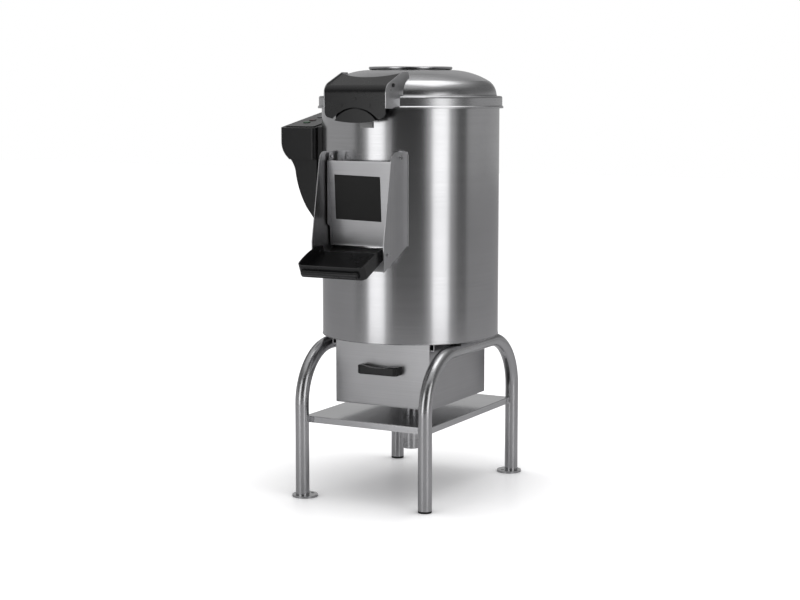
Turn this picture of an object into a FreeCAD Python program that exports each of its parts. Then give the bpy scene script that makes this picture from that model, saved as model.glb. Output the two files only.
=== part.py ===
import FreeCAD, Part
import math
import os

# Electric potato peeler on a tube stand. Millimetres, +Z up, -Y is the front with the outlet.
# The origin lies on the floor, under the axis of the drum.

# General sheet, fits and clearances
sheet = 1.5
thick_sheet = 2.0
shaft_clearance = 0.05
screw_clearance = 0.1
seat_gap = 0.1
moving_gap = 0.3
floor_z = 0.0

# Stand
tube_diameter = 32.0
tube_wall = 1.5
leg_x = 162.0
leg_y = 235.0
bend_radius = 130.0
anchor_diameter = 60.0
anchor_thickness = 5.0
anchor_offset = 6.0
anchor_hole_reach = 25.0
anchor_hole_diameter = 8.0
cap_thickness = 5.0
cap_plug_length = 18.0
pad_diameter = 24.0
pad_thickness = 5.0
pad_y = 80.0
stand_bolt_diameter = 8.0
stand_bolt_head = 14.0
stand_bolt_reach = 14.0
bolt_head_height = 5.0
shelf_height = 191.0
shelf_lip = 15.0
shelf_half_x = 163.0
shelf_half_y = 223.0

# Body
body_bottom = 371.0
body_radius = 210.0
body_top = 925.0
base_thickness = 2.0
drum_floor_bottom = 586.0
drum_floor_thickness = 3.0
port_half_width = 70.0
port_bottom = 612.0
port_top = 780.0

# Peel filter under the body
filter_half_x = 125.0
filter_front = -141.0
filter_back = 153.0
filter_bottom = 214.0
drawer_panel = 2.5
panel_top_gap = 3.0
panel_bottom_gap = 1.5
rail_width = 10.0
rail_height = 18.0
drawer_side_gap = 4.5
drawer_back_gap = 6.0
drawer_wall_height = 112.0
screen_ledge = 9.0
screen_rise = 6.0
screen_hole_diameter = 7.0
screen_pitch = 22.0
drawer_handle_length = 106.0
drawer_handle_height = 20.5
drawer_handle_depth = 30.0
drawer_handle_bar = 12.0
drawer_handle_z = 302.0
drawer_handle_sag = 4.0
drawer_handle_shoulder = 7.0
drawer_screw_diameter = 6.0
drain_diameter = 41.0
drain_wall = 2.5
drain_y = 6.0
drain_bottom = 88.0
drain_thread_length = 24.0
drain_groove = 1.2
drain_shelf_gap = 9.0

# Duct from the drum floor to the filter
duct_half_x = 58.0
duct_front = 93.0
duct_back = 147.0

# Drive
shaft_diameter = 25.0
shaft_bottom = 396.0
bearing_outer = 52.0
bearing_width = 15.0
bearing_race = 5.0
bearing_wall = 8.0
bearing_housing_length = 104.0
bearing_flange_radius = 62.0
bearing_flange_thickness = 6.0
bearing_collar_rise = 4.0
seal_height = 7.0
plate_radius = 192.0
plate_thickness = 12.0
plate_rise = 8.0
plate_ramp_height = 7.0
plate_ramp_width = 34.0
cap_radius = 24.0
cap_height = 9.0
pulley_bottom = 400.0
pulley_width = 24.0
driven_pulley_radius = 84.0
motor_pulley_radius = 32.0
groove_depth = 10.0
belt_width = 10.0
belt_thickness = 8.0
groove_side_gap = 0.6
motor_x = -140.0
motor_radius = 58.0
motor_bottom = 440.0
motor_length = 128.0
motor_fin = 3.0
motor_fin_count = 28
motor_shaft_diameter = 19.0
motor_plate_thickness = 6.0
motor_post_diameter = 12.0
motor_post_dx = 45.0
motor_post_y = 72.0

# Outlet chute
cheek_half_gap = 91.0
cheek_front_top = (-267.0, 790.0)
cheek_front_mid = (-301.0, 609.0)
cheek_front_low = (-300.0, 548.0)
cheek_rear_low_z = 600.0
cheek_top = 811.0
cheek_corner = 16.0
flap_half_width = 87.0
flap_top = (-239.0, 790.0)
flap_bottom = (-218.0, 597.0)
flap_step_z = 645.0
flap_flange_deep_y = -205.0
flap_pin_y = -224.0
flap_pin_z = 799.0
flap_pin_diameter = 6.0
flap_pin_overhang = 2.0
ear_radius = 9.0
seal_thickness = 4.0
collar_margin = 5.0
label_width = 118.0
label_height = 102.0
label_left = -72.0
label_top_drop = 33.0
label_thickness = 0.8
label_turn = 1.5
tray_half_width = 84.0
tray_wall = 2.5
tray_pivot_y = -283.0
tray_pivot_z = 586.0
tray_front_y = -368.0
tray_front_z = 537.0
tray_slope = 25.0
tray_front_height = 29.0
tray_back_reach = 15.0
tray_back_height = 13.0
tray_corner = 12.0
tray_bar_radius = 6.5
tray_screw_diameter = 6.0
screw_head_diameter = 11.0
screw_head_height = 3.5

# Lid
lid_rim_radius = 219.0
lid_skirt_radius = 216.5
lid_rim_bottom = 906.5
lid_rim_lip = 4.0
lid_bead_z = 935.0
dome_crown_radius = 98.5
dome_crown_z = 995.5
top_disc_thickness = 6.5
top_disc_opening = 84.0
gasket_thickness = 2.0
lid_seal_width = 9.0
hinge_axis_y = 238.0
hinge_axis_z = 912.0
hinge_pin_diameter = 8.0
hinge_knuckle_radius = 9.0
hinge_half_width = 60.0
hinge_knuckle_length = 30.0

# Lid handle with its latch
cover_half_width = 77.5
cover_wall = 3.0
cover_front_y = -266.0
cover_crease_z = 952.0
cover_side_bottom = 892.0
cover_bottom = 884.0
cover_back_y = -187.0
cover_back_z = 987.0
handle_cheek_sheet = 2.0
latch_pivot_y = -244.0
latch_pivot_z = 948.0
latch_pin_diameter = 6.0
latch_plate_y = -250.0
latch_plate_thickness = 3.0
latch_half_width = 58.0
lens_half_width = 53.0
lens_height = 30.0
latch_gap = 3.0
keeper_half_width = 16.0
keeper_depth = 15.0
keeper_z = 886.0

# Control housing on the left
box_outer_x = -303.0
box_inner_x = -205.0
box_half_y = 100.0
box_front_top = 859.0
box_rear_top = 895.0
box_wall = 3.0
tail_half_y = 92.0
neck_half_y = 87.0
panel_inset = 9.0
panel_thickness = 2.0
button_radius = 9.0
button_rise = 1.6
button_stem_radius = 5.0
button_stem_length = 9.0
button_pitch = 28.0
board_thickness = 1.6

# Water inlet, cable gland
inlet_z = 868.0
inlet_x = 70.0
inlet_radius = 13.2
inlet_bore = 9.5
inlet_reach = 34.0
inlet_flange_radius = 21.0
gland_x = -70.0
gland_z = 402.0
gland_radius = 11.0
gland_reach = 24.0

# Values that follow from the sizes above
tube_radius = tube_diameter / 2
tube_bore = tube_radius - tube_wall
tube_top = body_bottom - pad_thickness
tube_center_z = tube_top - tube_radius
body_bore = body_radius - sheet
drum_floor_top = drum_floor_bottom + drum_floor_thickness
base_top = body_bottom + base_thickness
shaft_radius = shaft_diameter / 2
plate_bottom = drum_floor_top + plate_rise
plate_top = plate_bottom + plate_thickness
motor_shaft_radius = motor_shaft_diameter / 2
motor_plate_top = motor_bottom
drawer_half_x = filter_half_x - sheet - drawer_side_gap
drawer_floor_z = filter_bottom + sheet + moving_gap

V = FreeCAD.Vector
X_AXIS = V(1, 0, 0)
Z_AXIS = V(0, 0, 1)


# Simple solids
def box(x0, x1, y0, y1, z0, z1):
    return Part.makeBox(x1 - x0, y1 - y0, z1 - z0, V(x0, y0, z0))


def rod(radius, start, end):
    direction = V(*end) - V(*start)
    return Part.makeCylinder(radius, direction.Length, V(*start), direction)


def ring(outer, inner, start, end):
    return rod(outer, start, end).cut(rod(inner, start, end))


def outline(points, place):
    # An outline of straight runs; a point given as ("arc", middle, end) is a round stretch
    edges = []
    here = points[0]
    for step in points[1:]:
        if step[0] == "arc":
            edges.append(Part.Arc(place(here), place(step[1]), place(step[2])).toShape())
            here = step[2]
        else:
            edges.append(Part.LineSegment(place(here), place(step)).toShape())
            here = step
    if place(here).distanceToPoint(place(points[0])) > 0.001:
        edges.append(Part.LineSegment(place(here), place(points[0])).toShape())
    return Part.Face(Part.Wire(edges))


def prism_x(points, x0, x1):
    # Points are (y, z)
    return outline(points, lambda p: V(x0, p[0], p[1])).extrude(V(x1 - x0, 0, 0))


def prism_y(points, y0, y1):
    # Points are (x, z)
    return outline(points, lambda p: V(p[0], y0, p[1])).extrude(V(0, y1 - y0, 0))


def prism_z(points, z0, z1):
    # Points are (x, y)
    return outline(points, lambda p: V(p[0], p[1], z0)).extrude(V(0, 0, z1 - z0))


def turned(points, x=0.0, y=0.0):
    # Points are (radius, z), turned about a vertical axis
    face = outline(points, lambda p: V(x + p[0], y, p[1]))
    return face.revolve(V(x, y, 0), Z_AXIS, 360)


def moved_profile(points, dr, dz):
    result = []
    for p in points:
        if p[0] == "arc":
            result.append(("arc", (p[1][0] + dr, p[1][1] + dz), (p[2][0] + dr, p[2][1] + dz)))
        else:
            result.append((p[0] + dr, p[1] + dz))
    return result


def fillet_where(shape, radius, wanted):
    edges = [e for e in shape.Edges if wanted(e)]
    return shape.makeFillet(radius, edges)


def upright(edge):
    a, b = edge.Vertexes[0].Point, edge.Vertexes[-1].Point
    return abs(a.x - b.x) < 0.01 and abs(a.y - b.y) < 0.01 and abs(a.z - b.z) > 0.01


def wall_y(x):
    # Front face of the round body at a given side distance
    return -math.sqrt(body_radius ** 2 - x ** 2)


def line_y(start, end, z):
    # Depth of a slanted line at a given height
    return start[0] + (end[0] - start[0]) * (z - start[1]) / (end[1] - start[1])


# Stand
def arch(side, bottoms):
    x = side * leg_x
    front, rear = bottoms
    low = tube_center_z - bend_radius
    turn = bend_radius * math.sqrt(0.5)
    inner = leg_y - bend_radius
    edges = [
        Part.LineSegment(V(x, -leg_y, front), V(x, -leg_y, low)).toShape(),
        Part.Arc(V(x, -leg_y, low), V(x, -inner - turn, low + turn),
                 V(x, -inner, tube_center_z)).toShape(),
        Part.LineSegment(V(x, -inner, tube_center_z), V(x, inner, tube_center_z)).toShape(),
        Part.Arc(V(x, inner, tube_center_z), V(x, inner + turn, low + turn), V(x, leg_y, low)).toShape(),
        Part.LineSegment(V(x, leg_y, low), V(x, leg_y, rear)).toShape(),
    ]
    path = Part.Wire(edges)
    pipes = []
    for radius in (tube_radius, tube_bore):
        circle = Part.Wire(Part.Circle(V(x, -leg_y, front), Z_AXIS, radius).toShape())
        pipes.append(path.makePipeShell([circle], True, False))
    tube = pipes[0].cut(pipes[1])
    for y in (-pad_y, pad_y):
        tube = tube.cut(rod(stand_bolt_diameter / 2 + screw_clearance, (x, y, tube_center_z),
                            (x, y, tube_top + 1)))
    return tube


def anchor_plates():
    # One plate under the front left leg and one under the rear right leg, each with its floor hole
    plates = []
    length = math.hypot(leg_x, leg_y)
    ux, uy = leg_x / length, leg_y / length
    for side in (-1, 1):
        x, y = side * leg_x, side * leg_y
        cx, cy = x - side * ux * anchor_offset, y - side * uy * anchor_offset
        hx, hy = x - side * ux * anchor_hole_reach, y - side * uy * anchor_hole_reach
        plate = rod(anchor_diameter / 2, (cx, cy, floor_z), (cx, cy, anchor_thickness))
        hole = rod(anchor_hole_diameter / 2, (hx, hy, floor_z - 1), (hx, hy, anchor_thickness + 1))
        plates.append(plate.cut(hole))
    return Part.makeCompound(plates)


def leg_caps():
    caps = []
    for side in (-1, 1):
        x, y = side * leg_x, -side * leg_y
        foot = rod(tube_radius, (x, y, floor_z), (x, y, cap_thickness))
        foot = fillet_where(foot, 1.0, lambda e: e.BoundBox.ZMax < floor_z + 0.01)
        plug = rod(tube_bore - shaft_clearance, (x, y, cap_thickness - 1),
                   (x, y, cap_thickness + cap_plug_length))
        caps.append(foot.fuse(plug).removeSplitter())
    return Part.makeCompound(caps)


def pad_places():
    return [(sx * leg_x, sy * pad_y) for sx in (-1, 1) for sy in (-1, 1)]


def rubber_pads():
    # Each pad is hollowed below to sit on the round tube
    pads = []
    for x, y in pad_places():
        pad = rod(pad_diameter / 2, (x, y, tube_top - pad_thickness), (x, y, body_bottom))
        bed = rod(tube_radius + seat_gap, (x, y - pad_diameter, tube_center_z),
                  (x, y + pad_diameter, tube_center_z))
        hole = rod(stand_bolt_diameter / 2 + screw_clearance, (x, y, tube_top - 20),
                   (x, y, body_bottom + 1))
        pads.append(pad.cut(bed).cut(hole))
    return Part.makeCompound(pads)


def hex_head(x, y, z0, z1, width):
    corner = width / 2 / math.cos(math.pi / 6)
    points = [(x + corner * math.cos(i * math.pi / 3),
               y + corner * math.sin(i * math.pi / 3)) for i in range(6)]
    return prism_z(points, z0, z1)


def stand_bolts():
    bolts = []
    for x, y in pad_places():
        shank = rod(stand_bolt_diameter / 2, (x, y, tube_top - stand_bolt_reach), (x, y, base_top + 1))
        head = hex_head(x, y, base_top, base_top + bolt_head_height, stand_bolt_head)
        bolts.append(head.fuse(shank).removeSplitter())
    return Part.makeCompound(bolts)


def stand_shelf():
    # Sheet tray between the legs, notched round them, with its lips turned down
    low = shelf_height - shelf_lip
    outer = box(-shelf_half_x, shelf_half_x, -shelf_half_y, shelf_half_y, low, shelf_height)
    outer = fillet_where(outer, 1.4, lambda e: e.BoundBox.ZMin > shelf_height - 0.01)
    inner_x = shelf_half_x - sheet
    inner_y = shelf_half_y - sheet
    shelf = outer.cut(box(-inner_x, inner_x, -inner_y, inner_y, low - 1, shelf_height - sheet))
    for sx in (-1, 1):
        for sy in (-1, 1):
            leg = rod(tube_radius + seat_gap, (sx * leg_x, sy * leg_y, low - 2),
                      (sx * leg_x, sy * leg_y, shelf_height + 2))
            shelf = shelf.cut(leg)
    hole = rod(drain_diameter / 2 + drain_shelf_gap, (0, drain_y, low - 1),
               (0, drain_y, shelf_height + 1))
    shelf = shelf.cut(hole)
    return max(shelf.Solids, key=lambda s: s.Volume)


# Peel filter
def drawer_housing():
    back = filter_back
    front = filter_front + drawer_panel + moving_gap
    hx = filter_half_x
    outer = box(-hx, hx, front, back, filter_bottom, body_bottom)
    inner = box(-hx + sheet, hx - sheet, front - 1, back - sheet, filter_bottom + sheet, body_bottom + 1)
    housing = outer.cut(inner)
    for side in (-1, 1):
        x0, x1 = sorted((side * (hx - 0.5), side * (hx + rail_width)))
        rail = box(x0, x1, front, back, body_bottom - rail_height, body_bottom)
        x2, x3 = sorted((side * hx, side * (hx + rail_width - sheet)))
        hollow = box(x2, x3, front - 1, back + 1, body_bottom - rail_height + sheet, body_bottom + 1)
        housing = housing.fuse(rail.cut(hollow))
    hole = rod(drain_diameter / 2 - drain_wall, (0, drain_y, filter_bottom - 1),
               (0, drain_y, filter_bottom + sheet + 1))
    return housing.cut(hole).removeSplitter()


def drawer_body():
    # Front panel with a shallow box behind it; its floor is a ledge that carries the screen
    hx = drawer_half_x
    back = filter_back - drawer_back_gap
    low = drawer_floor_z
    front = filter_front + drawer_panel
    panel_low = filter_bottom + panel_bottom_gap
    panel_high = body_bottom - panel_top_gap
    panel = box(-filter_half_x, filter_half_x, filter_front, front, panel_low, panel_high)
    panel = fillet_where(panel, 1.2, lambda e: abs(e.BoundBox.YMax - filter_front) < 0.01)
    tray = box(-hx, hx, front - 0.5, back, low, low + drawer_wall_height)
    hollow = box(-hx + sheet, hx - sheet, front, back - sheet, low + sheet, low + drawer_wall_height + 1)
    ledge = screen_ledge
    mouth = box(-hx + ledge, hx - ledge, front + ledge, back - ledge, low - 1, low + sheet + 1)
    drawer = panel.fuse(tray).cut(hollow).cut(mouth)
    for x, z in drawer_screw_places():
        drawer = drawer.cut(rod(drawer_screw_diameter / 2 + screw_clearance, (x, filter_front - 1, z),
                                (x, front + 1, z)))
    return drawer.removeSplitter()


def drawer_screw_places():
    reach = drawer_handle_length / 2 - drawer_handle_bar / 2
    return [(-reach, drawer_handle_z), (reach, drawer_handle_z)]


def filter_screen():
    # Perforated plate that lies on the drawer's ledge
    hx = drawer_half_x - sheet - moving_gap
    front = filter_front + drawer_panel + moving_gap
    back = filter_back - drawer_back_gap - sheet - moving_gap
    z0 = drawer_floor_z + sheet
    plate = box(-hx, hx, front, back, z0, z0 + sheet)
    span_x = 2 * (hx - screen_ledge - screen_rise)
    span_y = back - front - 2 * (screen_ledge + screen_rise)
    nx = int(span_x // screen_pitch)
    ny = int(span_y // screen_pitch)
    middle = (front + back) / 2
    holes = []
    for i in range(nx + 1):
        for j in range(ny + 1):
            x = (i - nx / 2) * screen_pitch
            y = middle + (j - ny / 2) * screen_pitch
            holes.append(rod(screen_hole_diameter / 2, (x, y, z0 - 1), (x, y, z0 + sheet + 1)))
    return plate.cut(Part.makeCompound(holes))


def drawer_handle():
    # Bow handle: two feet and a grip, with rounded corners
    half = drawer_handle_length / 2
    y0 = filter_front
    y1 = filter_front - drawer_handle_depth
    bar = drawer_handle_bar
    points = [(-half, y0), (-half, y1 + bar),
              ("arc", (-half + bar * 0.3, y1 + bar * 0.3), (-half + bar, y1)),
              (half - bar, y1), ("arc", (half - bar * 0.3, y1 + bar * 0.3), (half, y1 + bar)), (half, y0),
              (half - bar, y0), (half - bar, y1 + bar), (-half + bar, y1 + bar), (-half + bar, y0)]
    low = drawer_handle_z - drawer_handle_height / 2
    grip = prism_z(points, low, low + drawer_handle_height)
    grip = fillet_where(grip, 3.0, lambda e: e.BoundBox.YMax < y1 + bar + 0.01 and not upright(e)
                        and e.BoundBox.YMax < y0 - 1 and e.BoundBox.YMin < y1 + bar - 0.1)
    reach = half - bar - drawer_handle_shoulder
    curve = (reach ** 2 + drawer_handle_sag ** 2) / (2 * drawer_handle_sag)
    center = low + drawer_handle_height - drawer_handle_sag + curve
    grip = grip.cut(rod(curve, (0, y1 - 1, center), (0, y0 + 1, center)))
    for x, z in drawer_screw_places():
        grip = grip.cut(rod(drawer_screw_diameter / 2 + screw_clearance, (x, y0 + 1, z),
                            (x, y0 - bar, z)))
    return grip


def drawer_handle_screws():
    # Screwed from inside the panel into the feet of the handle
    inside = filter_front + drawer_panel
    screws = []
    for x, z in drawer_screw_places():
        shank = rod(drawer_screw_diameter / 2, (x, filter_front - drawer_handle_bar + 2, z),
                    (x, inside + 1, z))
        head = rod(screw_head_diameter / 2, (x, inside, z), (x, inside + screw_head_height, z))
        screws.append(head.fuse(shank).removeSplitter())
    return Part.makeCompound(screws)


def drain_pipe():
    # Waste pipe with its screw thread cut as plain grooves at the end
    outer = drain_diameter / 2
    inner = outer - drain_wall
    pipe = ring(outer, inner, (0, drain_y, drain_bottom), (0, drain_y, filter_bottom))
    pitch = 3.0
    for i in range(int(drain_thread_length / pitch)):
        z = drain_bottom + 1.0 + i * pitch
        pipe = pipe.cut(ring(outer + 1, outer - drain_groove, (0, drain_y, z),
                             (0, drain_y, z + pitch / 2)))
    return pipe


# Body
def body_shell():
    shell = ring(body_radius, body_bore, (0, 0, body_bottom), (0, 0, body_top))
    port = box(-port_half_width, port_half_width, -body_radius - 5, 0, port_bottom, port_top)
    port = fillet_where(port, 12.0, lambda e: abs(e.BoundBox.YLength - body_radius - 5) < 0.01)
    shell = shell.cut(port)
    inlet = rod(inlet_radius + screw_clearance, (inlet_x, 0, inlet_z),
                (inlet_x, body_radius + 5, inlet_z))
    gland = rod(gland_radius - 3 + screw_clearance, (gland_x, 0, gland_z),
                (gland_x, body_radius + 5, gland_z))
    return shell.cut(inlet).cut(gland)


def base_plate():
    plate = rod(body_bore - seat_gap, (0, 0, body_bottom), (0, 0, base_top))
    opening = box(-duct_half_x, duct_half_x, duct_front, duct_back, body_bottom - 1, base_top + 1)
    plate = plate.cut(opening)
    for x, y in pad_places():
        plate = plate.cut(rod(stand_bolt_diameter / 2 + screw_clearance, (x, y, body_bottom - 1),
                              (x, y, base_top + 1)))
    return plate


def drum_floor():
    z0, z1 = drum_floor_bottom, drum_floor_top
    plate = rod(body_bore - seat_gap, (0, 0, z0), (0, 0, z1))
    neck = bearing_outer / 2 + bearing_wall + seat_gap
    plate = plate.cut(rod(neck, (0, 0, z0 - 1), (0, 0, z1 + 1)))
    return plate.cut(box(-duct_half_x, duct_half_x, duct_front, duct_back, z0 - 1, z1 + 1))


def waste_duct():
    # Rectangular duct that drops peel and water into the filter drawer
    low, high = base_top, drum_floor_bottom
    wall = thick_sheet
    outer = box(-duct_half_x - wall, duct_half_x + wall, duct_front - wall, duct_back + wall, low, high)
    return outer.cut(box(-duct_half_x, duct_half_x, duct_front, duct_back, low - 1, high + 1))


# Drive
def bearing_housing():
    outer = bearing_outer / 2 + bearing_wall
    bore = bearing_outer / 2 + shaft_clearance / 2
    top = drum_floor_top + bearing_collar_rise
    low = drum_floor_bottom - bearing_housing_length
    shoulder = shaft_radius + 6
    housing = ring(outer, shoulder, (0, 0, low), (0, 0, top))
    flange = ring(bearing_flange_radius, outer - 1, (0, 0, drum_floor_bottom - bearing_flange_thickness),
                  (0, 0, drum_floor_bottom))
    housing = housing.fuse(flange)
    for z in bearing_levels():
        housing = housing.cut(rod(bore, (0, 0, z), (0, 0, z + bearing_width)))
    housing = housing.cut(rod(bore, (0, 0, low - 1), (0, 0, bearing_levels()[0] + 1)))
    housing = housing.cut(rod(bore, (0, 0, bearing_levels()[1] + 1), (0, 0, top + 1)))
    return housing.removeSplitter()


def bearing_levels():
    low = drum_floor_bottom - bearing_housing_length + 3
    high = drum_floor_top + bearing_collar_rise - seal_height - bearing_width
    return (low, high)


def ball_bearings():
    return Part.makeCompound([ball_bearing(z) for z in bearing_levels()])


def ball_bearing(z):
    outer = bearing_outer / 2
    inner = shaft_radius + shaft_clearance
    middle = (outer + inner) / 2
    body = ring(outer, inner, (0, 0, z), (0, 0, z + bearing_width))
    for z0, z1 in ((z - 1, z + 1), (z + bearing_width - 1, z + bearing_width + 1)):
        body = body.cut(ring(middle + bearing_race / 2, middle - bearing_race / 2, (0, 0, z0),
                             (0, 0, z1)))
    return body


def shaft_seal():
    top = drum_floor_top + bearing_collar_rise
    return ring(bearing_outer / 2, shaft_radius + shaft_clearance, (0, 0, top - seal_height), (0, 0, top))


def drive_shaft():
    return rod(shaft_radius, (0, 0, shaft_bottom), (0, 0, plate_top + 2))


def abrasive_plate():
    # Turning plate with three raised ramps and a hub
    bore = shaft_radius + shaft_clearance
    profile = [(bore, plate_bottom), (plate_radius - 6, plate_bottom), (plate_radius, plate_bottom + 4),
               (plate_radius, plate_top - 2), (plate_radius - 2, plate_top), (bore, plate_top)]
    plate = turned(profile)
    keep = turned([(cap_radius + 8, plate_top - 2), (plate_radius - 8, plate_top - 2),
                   (plate_radius - 8, plate_top + plate_ramp_height), (cap_radius + 8,
                                                                       plate_top + plate_ramp_height)])
    half = plate_ramp_width
    crest = (0, plate_top + plate_ramp_height)
    base = plate_top - 1
    wedge = prism_x([(-half, base), (half, base), ("arc", crest, (-half, base))], 0, plate_radius)
    for i in range(3):
        ramp = wedge.copy()
        ramp.rotate(V(0, 0, 0), Z_AXIS, 90 + i * 120)
        plate = plate.fuse(ramp.common(keep))
    return plate.removeSplitter()


def plate_cap():
    z0 = plate_top
    bore = rod(shaft_radius + shaft_clearance, (0, 0, z0 - 1), (0, 0, z0 + 2 + moving_gap))
    cap = rod(cap_radius, (0, 0, z0), (0, 0, z0 + cap_height))
    cap = fillet_where(cap, 4.0, lambda e: e.BoundBox.ZMin > z0 + cap_height - 0.01)
    return cap.cut(bore)


def pulley(radius, bore, x):
    z0 = pulley_bottom
    z1 = z0 + pulley_width
    middle = (z0 + z1) / 2
    half = belt_width / 2 + groove_side_gap
    wheel = ring(radius, bore + shaft_clearance, (x, 0, z0), (x, 0, z1))
    return wheel.cut(ring(radius + 1, radius - groove_depth, (x, 0, middle - half),
                          (x, 0, middle + half)))


def belt_loop(inset):
    # The outline of two pulleys with the straight runs that touch them both
    big = driven_pulley_radius - inset
    small = motor_pulley_radius - inset
    span = -motor_x
    tilt = math.acos((big - small) / span)
    ux, uy = -math.cos(tilt), math.sin(tilt)
    first = (big * ux, big * uy)
    second = (motor_x + small * ux, small * uy)
    return [first, second, ("arc", (motor_x - small, 0), (second[0], -second[1])),
            (first[0], -first[1]), ("arc", (big, 0), first)]


def v_belt():
    middle = pulley_bottom + pulley_width / 2
    z0, z1 = middle - belt_width / 2, middle + belt_width / 2
    inset = groove_depth - moving_gap
    return prism_z(belt_loop(inset - belt_thickness), z0,
                   z1).cut(prism_z(belt_loop(inset), z0 - 1, z1 + 1))


def motor_body():
    # Finned case with a terminal box, hanging shaft down
    z0, z1 = motor_bottom, motor_bottom + motor_length
    case = rod(motor_radius - motor_fin, (motor_x, 0, z0), (motor_x, 0, z1))
    for i in range(motor_fin_count):
        fin = box(0, motor_radius, -0.9, 0.9, z0 + 12, z1 - 22)
        fin.rotate(V(0, 0, 0), Z_AXIS, i * 360 / motor_fin_count)
        fin.translate(V(motor_x, 0, 0))
        case = case.fuse(fin)
    cowl = rod(motor_radius, (motor_x, 0, z1 - 24), (motor_x, 0, z1))
    flange = rod(motor_radius, (motor_x, 0, z0), (motor_x, 0, z0 + 10))
    case = case.fuse(cowl).fuse(flange)
    bore = rod(motor_shaft_radius + shaft_clearance, (motor_x, 0, z0 - 1),
               (motor_x, 0, z0 + motor_length / 2))
    return case.cut(bore).removeSplitter()


def motor_shaft():
    return rod(motor_shaft_radius, (motor_x, 0, shaft_bottom),
               (motor_x, 0, motor_bottom + motor_length / 2 - 2))


def motor_mount():
    # Plate on four welded posts that carries the motor over the belt
    z0, z1 = motor_plate_top - motor_plate_thickness, motor_plate_top
    reach = motor_post_dx + motor_post_diameter
    wide = motor_post_y + motor_post_diameter
    mount = box(motor_x - reach, motor_x + reach, -wide, wide, z0, z1)
    mount = mount.common(rod(body_bore - moving_gap, (0, 0, z0 - 1), (0, 0, z1 + 1)))
    mount = mount.cut(rod(motor_pulley_radius + 3, (motor_x, 0, z0 - 1), (motor_x, 0, z1 + 1)))
    for sx in (-1, 1):
        for sy in (-1, 1):
            x, y = motor_x + sx * motor_post_dx, sy * motor_post_y
            mount = mount.fuse(rod(motor_post_diameter / 2, (x, y, base_top), (x, y, z0 + 1)))
    return mount.removeSplitter()


# Outlet chute
def flap_line(z):
    return line_y(flap_top, flap_bottom, z)


def cheek_low_z(y):
    rear = wall_y(cheek_half_gap)
    slope = (cheek_front_low[1] - cheek_rear_low_z) / (cheek_front_low[0] - rear)
    return cheek_front_low[1] + slope * (y - cheek_front_low[0])


def tray_low_z(y):
    return tray_front_z + math.tan(math.radians(tray_slope)) * (y - tray_front_y)


def chute_cheeks():
    # Two fixed side plates welded to the body
    inside = -body_radius * 0.8
    corner = cheek_corner
    points = [(inside, cheek_top), (cheek_front_top[0] + corner * 1.6, cheek_top),
              ("arc", (cheek_front_top[0] + corner * 0.55, cheek_top - corner * 0.3), cheek_front_top),
              cheek_front_mid, cheek_front_low, (inside, cheek_low_z(inside))]
    cheeks = []
    for side in (-1, 1):
        x0, x1 = sorted((side * cheek_half_gap, side * (cheek_half_gap + thick_sheet)))
        cheek = prism_x(points, x0, x1)
        cheek = cheek.cut(rod(body_radius + seat_gap, (0, 0, 500), (0, 0, 900)))
        for y, z, size in ((flap_pin_y, flap_pin_z, flap_pin_diameter),
                           (tray_pivot_y, tray_pivot_z, tray_screw_diameter)):
            cheek = cheek.cut(rod(size / 2 + screw_clearance, (x0 - 1, y, z), (x1 + 1, y, z)))
        cheeks.append(max(cheek.Solids, key=lambda s: s.Volume))
    return Part.makeCompound(cheeks)


def chute_floor():
    # Fixed sloping floor between the cheeks; its front lip carries the tray
    hx = cheek_half_gap - seat_gap
    inside = -body_radius * 0.8
    front = cheek_front_low[0] + 3
    rest = tray_low_z(front) - moving_gap
    low = lambda y: cheek_low_z(y) + seat_gap
    points = [(inside, low(inside)), (front, low(front)), (front, rest), (front + sheet, rest),
              (front + sheet, low(front + sheet) + sheet), (inside, low(inside) + sheet)]
    floor = prism_x(points, -hx, hx)
    return floor.cut(rod(body_radius + seat_gap, (0, 0, 500), (0, 0, 900)))


def port_collar():
    # Frame round the outlet, cut parallel to the flap so that the flap's seal lies on it
    offset = sheet + seal_thickness + moving_gap
    z0, z1 = port_bottom - collar_margin, port_top + collar_margin
    hx = port_half_width + collar_margin
    points = [(flap_line(z0) + offset, z0), (flap_line(z1) + offset, z1), (-100, z1), (-100, z0)]
    collar = prism_x(points, -hx, hx)
    collar = collar.cut(rod(body_radius + seat_gap, (0, 0, z0 - 5), (0, 0, z1 + 5)))
    port = box(-port_half_width, port_half_width, -300, 0, port_bottom, port_top)
    port = fillet_where(port, 12.0, lambda e: abs(e.BoundBox.YLength - 300) < 0.01)
    return collar.cut(port)


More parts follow.
